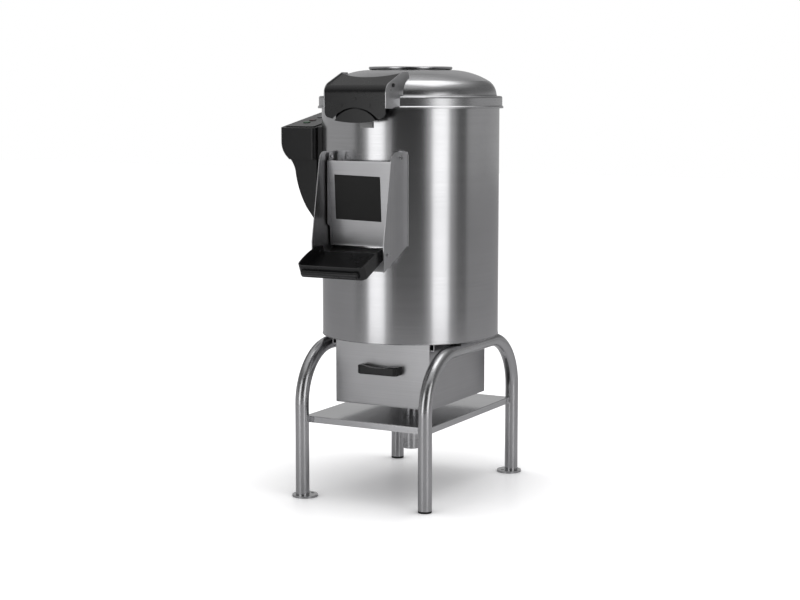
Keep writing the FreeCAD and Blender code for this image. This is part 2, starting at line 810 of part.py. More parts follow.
def discharge_flap():
    # Hanging door: recessed web, side flanges with hinge ears, folded lip at the bottom
    hx = flap_half_width
    top_y, top_z = flap_top
    low_y, low_z = flap_bottom
    web = prism_x([flap_top, flap_bottom, (low_y + sheet, low_z), (top_y + sheet, top_z)], -hx, hx)
    lip = prism_x([(low_y - 7, low_z), (low_y + sheet, low_z), (low_y + sheet, low_z + sheet),
                   (low_y - 7, low_z + sheet)],
                  -hx, hx)
    hem = prism_x([(top_y - 1, top_z), (top_y + 5, top_z), (top_y + 5, top_z - 4),
                   (top_y - 1, top_z - 4)], -hx, hx)
    flap = web.fuse(lip).fuse(hem)
    flange = [(top_y - 1, top_z), (top_y - 1, flap_step_z), (low_y - 11, flap_step_z - 5),
              (low_y - 8, low_z),
              (low_y + sheet, low_z), (flap_flange_deep_y, low_z + 14), (flap_flange_deep_y,
                                                                         flap_pin_z - ear_radius)]
    for side in (-1, 1):
        x0, x1 = sorted((side * (hx - sheet), side * hx))
        ear = rod(ear_radius, (x0, flap_pin_y, flap_pin_z), (x1, flap_pin_y, flap_pin_z))
        neck = box(x0, x1, flap_pin_y - ear_radius, flap_pin_y + ear_radius, flap_pin_z - ear_radius * 2,
                   flap_pin_z)
        flap = flap.fuse(prism_x(flange, x0, x1)).fuse(ear).fuse(neck)
    hole = rod(flap_pin_diameter / 2 + shaft_clearance, (-hx - 1, flap_pin_y, flap_pin_z),
               (hx + 1, flap_pin_y, flap_pin_z))
    return flap.cut(hole).removeSplitter()


def flap_seal():
    y0, y1 = sheet, sheet + seal_thickness
    rims = []
    for margin in (collar_margin + 3.0, -4.0):
        z0, z1 = port_bottom - margin, port_top + min(margin, collar_margin - 1)
        hx = port_half_width + margin
        points = [(flap_line(z0) + y0, z0), (flap_line(z1) + y0, z1), (flap_line(z1) + y1, z1),
                  (flap_line(z0) + y1, z0)]
        rims.append(prism_x(points, -hx, hx))
    return rims[0].cut(rims[1])


def flap_label():
    # Plain film, stuck on very slightly turned
    z1 = flap_top[1] - label_top_drop
    z0 = z1 - label_height
    points = [(flap_line(z0), z0), (flap_line(z1), z1), (flap_line(z1) - label_thickness, z1),
              (flap_line(z0) - label_thickness, z0)]
    film = prism_x(points, label_left, label_left + label_width)
    middle = V(label_left + label_width / 2, flap_line((z0 + z1) / 2), (z0 + z1) / 2)
    outwards = V(0, z0 - z1, flap_line(z1) - flap_line(z0))
    film.rotate(middle, outwards, -label_turn)
    return film


def flap_pins():
    # A short headed pin through each cheek into the ear of the flap
    reach = cheek_half_gap + thick_sheet
    inner = flap_half_width - sheet - flap_pin_overhang
    y, z = flap_pin_y, flap_pin_z
    pins = []
    for side in (-1, 1):
        pin = rod(flap_pin_diameter / 2, (side * inner, y, z), (side * (reach + 1), y, z))
        head = rod(flap_pin_diameter * 0.8, (side * reach, y, z),
                   (side * (reach + screw_head_height), y, z))
        pins.append(pin.fuse(head).removeSplitter())
    return Part.makeCompound(pins)


def tray_axes():
    angle = math.radians(tray_slope)
    return (math.cos(angle), math.sin(angle)), (-math.sin(angle), math.cos(angle))


def tray_point(along, up):
    (ay, az), (uy, uz) = tray_axes()
    return (tray_front_y + along * ay + up * uy, tray_front_z + along * az + up * uz)


def tray_block(inset, open_top):
    back_y = tray_pivot_y + tray_back_reach
    top_z = tray_pivot_z + tray_back_height
    front_low = tray_point(inset, inset)
    front_top = tray_point(inset, tray_front_height + open_top)
    length = (back_y - tray_front_y) / math.cos(math.radians(tray_slope))
    if open_top:
        points = [front_low, front_top, (tray_pivot_y, top_z + 30), (back_y + 10, top_z + 30),
                  tray_point(length + 20, inset)]
    else:
        points = [front_low, front_top,
                  ("arc", (tray_front_y + 28, top_z - 14), (tray_pivot_y - 8, top_z)),
                  (back_y, top_z), (back_y, tray_low_z(back_y))]
    half = tray_half_width - inset
    block = prism_x(points, -half, half)
    radius = tray_corner - inset
    return fillet_where(block, radius,
                        lambda e: e.BoundBox.XLength < 0.01 and e.Curve.TypeId == "Part::GeomLine"
                        and e.BoundBox.YMax < tray_front_y + inset * 2 + 1 and e.Length > tray_front_height * 0.8)


def chute_tray():
    # Black tray that hangs on two side screws and rests on the lip of the chute floor
    tray = tray_block(0.0, 0.0).cut(tray_block(tray_wall, 12.0))
    hx = tray_half_width
    for side in (-1, 1):
        hole = rod(tray_screw_diameter / 2 + shaft_clearance,
                   (side * (hx - 8), tray_pivot_y, tray_pivot_z),
                   (side * (hx + 1), tray_pivot_y, tray_pivot_z))
        tray = tray.cut(hole)
    return tray


def tray_grip_bar():
    # Half round bar along the front wall, with a hexagonal end
    center = tray_point(-tray_bar_radius * 0.45, tray_front_height * 0.46)
    reach = tray_half_width - tray_corner
    bar = rod(tray_bar_radius, (-reach, center[0], center[1]), (reach, center[0], center[1]))
    knob = rod(tray_bar_radius * 1.15, (reach - 11, center[0], center[1]),
               (reach - 3, center[0], center[1]))
    bar = bar.fuse(knob).removeSplitter()
    return bar.cut(tray_block(0.0, 0.0))


def tray_pivot_screws():
    screws = []
    y, z = tray_pivot_y, tray_pivot_z
    face = cheek_half_gap + thick_sheet
    for side in (-1, 1):
        shank = rod(tray_screw_diameter / 2, (side * (tray_half_width - tray_wall), y, z),
                    (side * (face + 1), y, z))
        head = rod(screw_head_diameter / 2, (side * face, y, z),
                   (side * (face + screw_head_height), y, z))
        spacer = rod(tray_screw_diameter / 2 + 2, (side * (tray_half_width + moving_gap), y, z),
                     (side * (cheek_half_gap - seat_gap), y, z))
        screws.append(shank.fuse(head).fuse(spacer).removeSplitter())
    return Part.makeCompound(screws)


# Lid
def lid_profile():
    rim, skirt, low = lid_rim_radius, lid_skirt_radius, lid_rim_bottom
    lip = low + lid_rim_lip
    bead = lid_bead_z
    crown = (dome_crown_radius, dome_crown_z)
    return [(rim, low), (rim, lip), (skirt, lip + 2.5), (skirt, bead - 5),
            ("arc", (skirt - 1.4, bead - 1.2), (skirt - 5, bead)), (skirt - 12, bead + 0.5),
            (skirt - 13.5, bead + 3), ("arc", (198.5, 954.5), (186.0, 969.5)),
            ("arc", (145.0, 988.0), crown), (0, dome_crown_z + 1)]


def lid_block(shift):
    profile = moved_profile(lid_profile(), -shift, -shift)
    low = lid_rim_bottom - (1 if shift else 0)
    profile[0] = (profile[0][0], low)
    top = profile[-1][1]
    profile[-1] = (0, top)
    return turned(profile + [(0, low)])


def lid_dome():
    shell = lid_block(0).cut(lid_block(sheet))
    return shell.cut(rod(top_disc_opening, (0, 0, dome_crown_z - 10), (0, 0, dome_crown_z + 10)))


def lid_seal():
    # Soft ring inside the lid that lies on the top edge of the body
    inner = body_bore - lid_seal_width / 2
    low = body_top + moving_gap
    high = lid_bead_z - sheet - 0.1
    return turned([(inner, low), (inner + lid_seal_width, low), (inner + lid_seal_width, high - 2),
                   (inner, high)])


def gasket_bottom():
    return dome_crown_z + 1.0


def disc_gasket():
    z0 = gasket_bottom()
    return ring(dome_crown_radius - 1.5, top_disc_opening, (0, 0, z0), (0, 0, z0 + gasket_thickness))


def lid_top_disc():
    # Raised cover disc with a spigot that drops into the crown of the lid
    z0 = gasket_bottom() + gasket_thickness
    z1 = z0 + top_disc_thickness - gasket_thickness
    disc = rod(dome_crown_radius, (0, 0, z0), (0, 0, z1))
    disc = fillet_where(disc, 1.8, lambda e: e.BoundBox.ZMin > z1 - 0.01)
    spigot = ring(top_disc_opening - seat_gap, top_disc_opening - sheet, (0, 0, z0 - 9), (0, 0, z0 + 1))
    return disc.fuse(spigot).removeSplitter()


def hinge_knuckle(x0, x1):
    y, z = hinge_axis_y, hinge_axis_z
    return rod(hinge_knuckle_radius, (x0, y, z), (x1, y, z))


def hinge_bore():
    y, z = hinge_axis_y, hinge_axis_z
    reach = hinge_half_width + 1
    return rod(hinge_pin_diameter / 2 + shaft_clearance, (-reach, y, z), (reach, y, z))


def lid_hinge_leaf():
    # Two arms from the skirt of the lid to the outer knuckles
    leaf = None
    inner = hinge_half_width - hinge_knuckle_length
    root_y = lid_skirt_radius * 0.9
    for side in (-1, 1):
        x0, x1 = sorted((side * inner, side * hinge_half_width))
        arm = prism_x([(root_y, hinge_axis_z + 1), (hinge_axis_y, hinge_axis_z - 3),
                       (hinge_axis_y, hinge_axis_z + 9),
                       (root_y, hinge_axis_z + 15)], x0, x1)
        part = arm.fuse(hinge_knuckle(x0, x1))
        leaf = part if leaf is None else leaf.fuse(part)
    tie = box(-inner - 1, inner + 1, root_y, lid_skirt_radius + 3, hinge_axis_z + 10, hinge_axis_z + 15)
    leaf = leaf.fuse(tie).cut(lid_block(0)).cut(hinge_bore())
    return max(leaf.removeSplitter().Solids, key=lambda s: s.Volume)


def lid_hinge_bracket():
    # Bracket welded to the back of the body, with the middle knuckle
    half = hinge_half_width - hinge_knuckle_length - moving_gap
    y, z = hinge_axis_y, hinge_axis_z
    r = hinge_knuckle_radius
    points = [(body_radius - 8, z - 50), (body_radius - 8, z - 13), (y - r - 4, z - 11), (y - r, z),
              (y + r, z),
              (y + 4, z - 12), (body_radius + 4, z - 50)]
    arm = prism_x(points, -half, half).fuse(hinge_knuckle(-half, half))
    return arm.cut(rod(body_radius + seat_gap, (0, 0, z - 60),
                       (0, 0, z))).cut(hinge_bore()).removeSplitter()


def lid_hinge_pin():
    y, z = hinge_axis_y, hinge_axis_z
    reach = hinge_half_width + moving_gap
    pin = rod(hinge_pin_diameter / 2, (-reach - 1, y, z), (reach + 1, y, z))
    for side in (-1, 1):
        pin = pin.fuse(rod(hinge_pin_diameter * 0.8, (side * reach, y, z), (side * (reach + 3), y, z)))
    return pin.removeSplitter()


# Lid handle and latch
def cover_line(inset):
    # Section of the bent cover, (y, z), moved inwards by the wall
    y0 = cover_front_y + inset
    back_z = cover_back_z - inset
    crease = cover_crease_z
    return [(y0, cover_bottom - 20), (y0, crease - 13),
            ("arc", (y0 + 4.5, crease + 1.5 - inset), (y0 + 16, crease + 9.5 - inset)),
            (cover_back_y + 20, back_z + 8)]


def cover_outline():
    w = cover_half_width
    side = cover_side_bottom
    return [(-w, cover_back_z + 30), (-w, side + 8), ("arc", (-w + 3.5, side - 1), (-w + 12, side - 5)),
            (-latch_half_width, cover_bottom + 1), ("arc", (0, cover_bottom + lens_height - 4),
                                                    (latch_half_width, cover_bottom + 1)),
            (w - 12, side - 5), ("arc", (w - 3.5, side - 1), (w, side + 8)), (w, cover_back_z + 30)]


def handle_cover():
    # Bent black cover with an arched cut-out below and a hollow rear edge over the lid
    w = cover_half_width
    back = [(cover_back_y + 20, cover_bottom - 20)]
    bent = prism_x(cover_line(0) + back, -w, w).cut(prism_x(cover_line(cover_wall) + back, -w - 1, w + 1))
    front = prism_y(cover_outline(), cover_front_y - 5, cover_back_y + 30)
    cover = bent.common(front)
    sag = 24.0
    curve = (w ** 2 + sag ** 2) / (2 * sag)
    center = cover_back_y - sag + curve
    cover = cover.cut(rod(curve, (0, center, cover_bottom), (0, center, cover_back_z + 40)))
    for side in (-1, 1):
        y, z = side_screw_place()
        boss = rod(7.0, (side * (w - 12), y, z), (side * w, y, z))
        boss = boss.fuse(box(min(side * (w - 12), side * w), max(side * (w - 12), side * w), y - 5,
                             y + 5, z, z + 9))
        boss = boss.common(prism_x(cover_line(cover_wall / 2) + back, -w, w))
        cover = cover.fuse(boss).cut(rod(2.6, (side * (w - 10), y, z), (side * (w + 1), y, z)))
    return cover.removeSplitter()


def side_screw_place():
    return (-233.0, 959.0)


def handle_cheeks():
    # Steel side plates, shaped to the dome and welded to it
    lid = lid_block(0)
    top_z = cover_back_z + 2
    points = [(cover_front_y, lid_rim_bottom + 2), (cover_front_y, cover_crease_z - 12),
              ("arc", (cover_front_y + 5, cover_crease_z + 4), (cover_front_y + 17, cover_crease_z + 13)),
              (cover_back_y, top_z),
              (cover_back_y + 26, top_z), (-150.0, 958.0), (-150.0, 913.0), (-224.0, 911.0),
              (-238.0, lid_rim_bottom + 1)]
    cheeks = []
    for side in (-1, 1):
        inner = cover_half_width + seat_gap
        x0, x1 = sorted((side * inner, side * (inner + handle_cheek_sheet)))
        cheek = prism_x(points, x0, x1).cut(lid)
        y, z = side_screw_place()
        cheek = cheek.cut(rod(2.6, (x0 - 1, y, z), (x1 + 1, y, z)))
        pin = rod(latch_pin_diameter / 2 + shaft_clearance, (x0 - 1, latch_pivot_y, latch_pivot_z),
                  (x1 + 1, latch_pivot_y, latch_pivot_z))
        cheek = cheek.cut(pin)
        cheeks.append(max(cheek.Solids, key=lambda s: s.Volume))
    return Part.makeCompound(cheeks)


def handle_screws():
    # Two side screws that hold the cover and three flat heads on its front
    y, z = side_screw_place()
    outer = cover_half_width + seat_gap + handle_cheek_sheet
    screws = []
    for side in (-1, 1):
        shank = rod(2.5, (side * (cover_half_width - 9), y, z), (side * (outer + 0.5), y, z))
        head = rod(4.5, (side * outer, y, z), (side * (outer + 2), y, z))
        screws.append(shank.fuse(head).removeSplitter())
    for x, level in ((0.0, 929.0), (-36.0, 914.0), (36.0, 914.0)):
        screws.append(rod(4.0, (x, cover_front_y - 1.2, level), (x, cover_front_y, level)))
    return Part.makeCompound(screws)


def latch_lever():
    # Sprung finger lever behind the cover; its arched face fills the cut-out
    y0 = latch_plate_y
    y1 = y0 + latch_plate_thickness
    w = latch_half_width
    plate = box(-w, w, y0, y1, cover_bottom + 2, latch_pivot_z)
    barrel = rod(latch_pin_diameter / 2 + 3, (-w, latch_pivot_y, latch_pivot_z),
                 (w, latch_pivot_y, latch_pivot_z))
    low = cover_bottom - 3
    arch_top = cover_bottom + lens_height - 4 - latch_gap
    corners = ((-lens_half_width, low), (lens_half_width, low))
    lens = prism_y([corners[0], ("arc", (0, arch_top), corners[1]), ("arc", (0, low - 5), corners[0])],
                   cover_front_y + 1.5, y1)
    k = keeper_half_width
    nose = prism_x([(y1 - 1, keeper_z - 3), (-body_radius - keeper_depth - 0.6, keeper_z),
                    (-body_radius - keeper_depth - 0.6, keeper_z + 3), (y1 - 1, keeper_z + 5)], -k, k)
    lever = plate.fuse(barrel).fuse(lens).fuse(nose)
    bore = rod(latch_pin_diameter / 2 + shaft_clearance, (-w - 1, latch_pivot_y, latch_pivot_z),
               (w + 1, latch_pivot_y, latch_pivot_z))
    return lever.cut(bore).removeSplitter()


def latch_pin():
    reach = cover_half_width + seat_gap + handle_cheek_sheet
    return rod(latch_pin_diameter / 2, (-reach, latch_pivot_y, latch_pivot_z),
               (reach, latch_pivot_y, latch_pivot_z))


def latch_keeper():
    # Welded catch plate below the rim of the lid
    k = keeper_half_width
    plate = box(-k, k, -body_radius - keeper_depth, -body_radius + 6, keeper_z, keeper_z + 3)
    foot = box(-k, k, -body_radius - 3, -body_radius + 6, keeper_z - 22, keeper_z + 3)
    keeper = plate.fuse(foot).cut(rod(body_radius + seat_gap, (0, 0, keeper_z - 40),
                                      (0, 0, keeper_z + 20)))
    return max(keeper.removeSplitter().Solids, key=lambda s: s.Volume)


# Control housing
def panel_slope():
    return math.atan2(box_rear_top - box_front_top, 2 * box_half_y)


def on_panel(shape):
    # Puts a shape drawn flat, with y from the front edge, on the sloping top
    shape.rotate(V(0, 0, 0), X_AXIS, math.degrees(panel_slope()))
    shape.translate(V(0, -box_half_y, box_front_top))
    return shape


def housing_block(inset):
    o = box_outer_x + inset
    i = box_inner_x
    s = inset * 0.8
    deep = -body_radius * 0.86
    points = [(deep, box_rear_top + 20), (o, box_rear_top + 20), (o, 827.0),
              ("arc", (-298.5 + inset, 805.0 + s), (-286.0 + s, 788.0 + s)),
              ("arc", (-274.0 + inset, 773.0 + s), (-267.0 + inset, 750.0 + s)),
              ("arc", (-257.5 + inset, 712.0 + s), (-236.5 + s, 668.0 + inset)),
              (-216.0 + s, 642.0 + inset), (-203.0 + s, 630.0 + inset), (deep, 630.0 + inset)]
    y = box_half_y - inset
    t = tail_half_y - inset
    n = neck_half_y - inset
    upper = prism_y(points, -y, y).common(box(o - 1, deep + 1, -y, y, 784.0, 1000.0))
    lower = prism_y(points, -t, t).common(box(o - 1, deep + 1, -t, t, 600.0, 784.0 + inset))
    for side in (-1, 1):
        y0, y1 = sorted((side * n, side * (y + 5)))
        upper = upper.cut(box(i, deep + 5, y0, y1, 600.0, 1000.0))
        lower = lower.cut(box(i, deep + 5, y0, y1, 600.0, 1000.0))
    radius = 10.0 - inset
    upper = fillet_where(upper, radius, lambda e: upright(e) and abs(abs(e.BoundBox.YMax) - y) < 0.01)
    lower = fillet_where(lower, radius * 0.8, lambda e: abs(abs(e.BoundBox.YMax) - t) < 0.01
                         and e.BoundBox.YLength < 0.01 and e.BoundBox.XMax < i - 1 and e.BoundBox.ZMax < 783.0)
    block = upper.fuse(lower)
    above = on_panel(box(o - 20, deep + 20, -80, 2 * box_half_y + 80, -inset, 120))
    return block.cut(above).cut(rod(body_radius + seat_gap, (0, 0, 600), (0, 0, 1000)))


def board_posts():
    return [(x, y) for x in (-286.0, -226.0) for y in (40.0, 168.0)]


def board_level():
    return -box_wall - button_stem_length - 1.0


def button_places():
    # Along the panel: two keys and the timer key
    middle = (box_outer_x + box_inner_x) / 2
    return [("start_button", middle - 8, 60.0), ("stop_button", middle - 8, 60.0 + button_pitch),
            ("timer_button", middle - 8, 60.0 + 2.4 * button_pitch)]


def control_housing():
    shell = housing_block(0.0).cut(housing_block(box_wall))
    shell = max(shell.Solids, key=lambda s: s.Volume)
    for x, y in board_posts():
        shell = shell.fuse(on_panel(rod(3.0, (x, y, board_level()), (x, y, -box_wall + 0.5))))
    for name, x, y in button_places():
        shell = shell.cut(on_panel(rod(button_stem_radius + screw_clearance, (x, y, -box_wall - 1),
                                       (x, y, 1))))
    return shell.removeSplitter()


def control_panel():
    x0, x1 = box_outer_x + panel_inset, box_inner_x - panel_inset
    panel = box(x0, x1, panel_inset + 3, 2 * box_half_y - panel_inset, 0.05, panel_thickness)
    panel = fillet_where(panel, 6.0, upright)
    for name, x, y in button_places():
        panel = panel.cut(rod(button_radius + moving_gap, (x, y, -1), (x, y, panel_thickness + 1)))
    return on_panel(panel)


def push_button(x, y):
    low = panel_thickness - 0.7
    high = panel_thickness + button_rise
    cap = rod(button_radius, (x, y, low), (x, y, high))
    cap = fillet_where(cap, 0.9, lambda e: e.BoundBox.ZMin > high - 0.01)
    stem = rod(button_stem_radius, (x, y, -box_wall - button_stem_length + 2), (x, y, low + 0.5))
    return on_panel(cap.fuse(stem).removeSplitter())


def circuit_board():
    z1 = board_level()
    board = box(-291.0, -221.0, 34.0, 174.0, z1 - board_thickness, z1)
    parts = [box(-280, -262, 60, 86, z1 - 15, z1 - 1), box(-250, -232, 96, 126, z1 - 19, z1 - 1)]
    for part in parts:
        board = board.fuse(part)
    return on_panel(board.removeSplitter())


# Services at the back
def water_inlet():
    # Threaded tail outside, flange on the wall, fan nozzle inside
    x, z = inlet_x, inlet_z
    wall = math.sqrt(body_radius ** 2 - x ** 2)
    tail = rod(inlet_radius, (x, wall - 16, z), (x, wall + inlet_reach, z))
    flange = rod(inlet_flange_radius, (x, wall - 1, z), (x, wall + 12, z))
    flange = flange.cut(rod(body_radius + seat_gap, (0, 0, z - 40), (0, 0, z + 40)))
    nozzle = box(x - 22, x + 22, wall - 34, wall - 15, z - 5, z + 5)
    inlet = tail.fuse(flange).fuse(nozzle)
    inlet = inlet.cut(rod(inlet_bore, (x, wall - 14, z), (x, wall + inlet_reach + 1, z)))
    return inlet.cut(box(x - 18, x + 18, wall - 40, wall - 12, z - 2, z + 2)).removeSplitter()


def cable_gland():
    x, z = gland_x, gland_z
    wall = math.sqrt(body_radius ** 2 - x ** 2)
    stem = rod(gland_radius - 3, (x, wall - 12, z), (x, wall + 2, z))
    hexagon = hex_head(0, 0, 0, 9, 2 * gland_radius + 2)
    hexagon.rotate(V(0, 0, 0), X_AXIS, -90)
    hexagon.translate(V(x, wall + 5, z))
    base = rod(gland_radius, (x, wall - 6, z),
               (x, wall + 6, z)).cut(rod(body_radius + seat_gap, (0, 0, z - 40), (0, 0, z + 40)))
    dome = rod(gland_radius - 1.5, (x, wall + 13, z), (x, wall + gland_reach, z))
    gland = stem.fuse(base).fuse(hexagon).fuse(dome)
    return gland.cut(rod(4.0, (x, wall - 14, z), (x, wall + gland_reach + 1, z))).removeSplitter()


def all_pieces():
    pieces = {
        "stand_arch_left": arch(-1, (anchor_thickness, cap_thickness)),
        "stand_arch_right": arch(1, (cap_thickness, anchor_thickness)),
        "stand_shelf": stand_shelf(),
        "anchor_plates": anchor_plates(),
        "leg_caps": leg_caps(),
        "rubber_pads": rubber_pads(),
        "stand_bolts": stand_bolts(),
        "drawer_housing": drawer_housing(),
        "filter_drawer": drawer_body(),
        "filter_screen": filter_screen(),
        "drawer_handle": drawer_handle(),
        "drawer_handle_screws": drawer_handle_screws(),
        "drain_pipe": drain_pipe(),
        "body_shell": body_shell(),
        "base_plate": base_plate(),
        "drum_floor": drum_floor(),
        "waste_duct": waste_duct(),
        "bearing_housing": bearing_housing(),
        "ball_bearings": ball_bearings(),
        "shaft_seal": shaft_seal(),
        "drive_shaft": drive_shaft(),
        "abrasive_plate": abrasive_plate(),
        "plate_cap": plate_cap(),
        "driven_pulley": pulley(driven_pulley_radius, shaft_radius, 0.0),
        "motor_pulley": pulley(motor_pulley_radius, motor_shaft_radius, motor_x),
        "v_belt": v_belt(),
        "motor_body": motor_body(),
        "motor_shaft": motor_shaft(),
        "motor_mount": motor_mount(),
        "chute_cheeks": chute_cheeks(),
        "chute_floor": chute_floor(),
        "port_collar": port_collar(),
        "discharge_flap": discharge_flap(),
        "flap_seal": flap_seal(),
        "flap_label": flap_label(),
        "flap_pins": flap_pins(),
        "chute_tray": chute_tray(),
        "tray_grip_bar": tray_grip_bar(),
        "tray_pivot_screws": tray_pivot_screws(),
        "lid_dome": lid_dome(),
        "lid_seal": lid_seal(),
        "disc_gasket": disc_gasket(),
        "lid_top_disc": lid_top_disc(),
        "lid_hinge_leaf": lid_hinge_leaf(),
        "lid_hinge_bracket": lid_hinge_bracket(),
        "lid_hinge_pin": lid_hinge_pin(),
        "handle_cover": handle_cover(),
        "handle_cheeks": handle_cheeks(),
        "handle_screws": handle_screws(),
        "latch_lever": latch_lever(),
        "latch_pin": latch_pin(),
        "latch_keeper": latch_keeper(),
        "control_housing": control_housing(),
        "control_panel": control_panel(),
        "circuit_board": circuit_board(),
        "water_inlet": water_inlet(),
        "cable_gland": cable_gland(),
    }
    for name, x, y in button_places():
        pieces[name] = push_button(x, y)
    return pieces


def main():
    os.makedirs("parts", exist_ok=True)
    for name, shape in all_pieces().items():
        solids = shape.Solids
        valid = all(s.isValid() for s in solids)
        print(f"{name:24s} solids {len(solids)} volume {sum(s.Volume for s in solids) / 1000:10.2f} cm3 valid {valid}")
        shape.exportStep("parts/" + name + ".step")


main()
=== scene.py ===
import bmesh
import bpy
import math
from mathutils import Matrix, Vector


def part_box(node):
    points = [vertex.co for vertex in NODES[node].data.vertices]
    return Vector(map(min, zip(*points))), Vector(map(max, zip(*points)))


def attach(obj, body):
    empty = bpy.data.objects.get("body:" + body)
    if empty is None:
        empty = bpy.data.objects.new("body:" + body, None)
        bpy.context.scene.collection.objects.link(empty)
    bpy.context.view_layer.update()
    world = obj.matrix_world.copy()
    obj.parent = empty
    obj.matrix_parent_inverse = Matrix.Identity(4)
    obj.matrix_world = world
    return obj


bl_info = {
    "name": "Potato Peeler Dressing",
    "version": (1, 0, 0),
    "blender": (4, 5, 0),
    "location": "3D View > Sidebar > Peeler",
    "description": "Gives the potato peeler its steel, plastic and rubber finishes, small details and a studio",
    "category": "Object",
}

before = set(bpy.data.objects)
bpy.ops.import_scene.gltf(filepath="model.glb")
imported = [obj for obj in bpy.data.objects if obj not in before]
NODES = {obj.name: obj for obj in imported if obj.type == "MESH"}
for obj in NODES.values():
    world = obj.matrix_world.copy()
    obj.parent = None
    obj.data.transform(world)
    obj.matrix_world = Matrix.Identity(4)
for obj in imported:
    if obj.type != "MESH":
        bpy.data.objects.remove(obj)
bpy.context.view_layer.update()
MM = 0.001


# Places read from the frame
def low(node):
    return Vector(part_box(node)[0])


def high(node):
    return Vector(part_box(node)[1])


DRUM_RADIUS = high("body_shell").x
DRUM_BOTTOM = low("body_shell").z
WELD_RADIUS = 1.3 * MM
WELD_PITCH = 2.2 * MM
SEAM_X = 34 * MM
HEM_STEPS = 160


class PeelerFinish(bpy.types.PropertyGroup):
    steel_colour: bpy.props.FloatVectorProperty(
        name="Steel colour", description="Colour of the bare stainless steel", subtype="COLOR",
        size=3, min=0.0, max=1.0, default=(0.56, 0.56, 0.57))
    steel_roughness: bpy.props.FloatProperty(
        name="Steel roughness", description="Roughness of the brushed steel", min=0.05, max=0.9,
        default=0.27, subtype="FACTOR")
    plastic_colour: bpy.props.FloatVectorProperty(
        name="Plastic colour", description="Colour of the black mouldings", subtype="COLOR",
        size=3, min=0.0, max=1.0, default=(0.010, 0.010, 0.0105))
    rubber_colour: bpy.props.FloatVectorProperty(
        name="Rubber colour", description="Colour of seals and pads", subtype="COLOR",
        size=3, min=0.0, max=1.0, default=(0.008, 0.008, 0.008))
    edge_radius: bpy.props.FloatProperty(
        name="Edge radius", description="Rounding of folded and moulded edges", subtype="DISTANCE",
        unit="LENGTH", min=0.0, max=0.003, default=0.0007)


class PeelerStudio(bpy.types.PropertyGroup):
    camera_place: bpy.props.FloatVectorProperty(
        name="Camera place", description="Where the camera stands", subtype="XYZ", unit="LENGTH",
        size=3, default=(1.826, -3.444, 0.943))
    camera_heading: bpy.props.FloatProperty(
        name="Camera heading", description="Turn of the camera to the left of straight ahead",
        subtype="ANGLE", unit="ROTATION", default=math.radians(28.30))
    camera_dip: bpy.props.FloatProperty(
        name="Camera dip", description="Tilt of the camera below the horizon", subtype="ANGLE",
        unit="ROTATION", default=math.radians(7.223))
    camera_lens: bpy.props.FloatProperty(
        name="Camera lens", description="Focal length in millimetres", min=10.0, max=300.0, default=73.66)
    room_level: bpy.props.FloatProperty(
        name="Room level", description="Brightness of the plain room round the machine",
        min=0.0, max=2.0, default=0.42)
    strip_power: bpy.props.FloatProperty(
        name="Strip power", description="Power of each tall strip lamp", subtype="POWER", unit="POWER",
        min=0.0, max=200.0, default=7.3)
    top_power: bpy.props.FloatProperty(
        name="Top power", description="Power of the soft lamp overhead", subtype="POWER", unit="POWER",
        min=0.0, max=200.0, default=12.0)
    # Floor lift is the floor's own glow for the camera; near the machine it is dimmed into a painted shadow
    floor_lift: bpy.props.FloatProperty(
        name="Floor lift", description="Own brightness that the camera sees on the floor",
        min=0.0, max=2.0, default=0.85)


# Shader helpers
def add_node(tree, kind, **values):
    node = tree.nodes.new(kind)
    for key, value in values.items():
        setattr(node, key, value)
    return node


def fill(node, **values):
    for key, value in values.items():
        node.inputs[key.replace("_", " ")].default_value = value
    return node


def new_group(name, inputs, outputs):
    group = bpy.data.node_groups.new(name, "ShaderNodeTree")
    for label, kind, value in inputs:
        socket = group.interface.new_socket(name=label, in_out="INPUT", socket_type=kind)
        if value is not None:
            socket.default_value = value
    for label, kind in outputs:
        group.interface.new_socket(name=label, in_out="OUTPUT", socket_type=kind)
    source = group.nodes.new("NodeGroupInput")
    sink = group.nodes.new("NodeGroupOutput")
    return group, source, sink


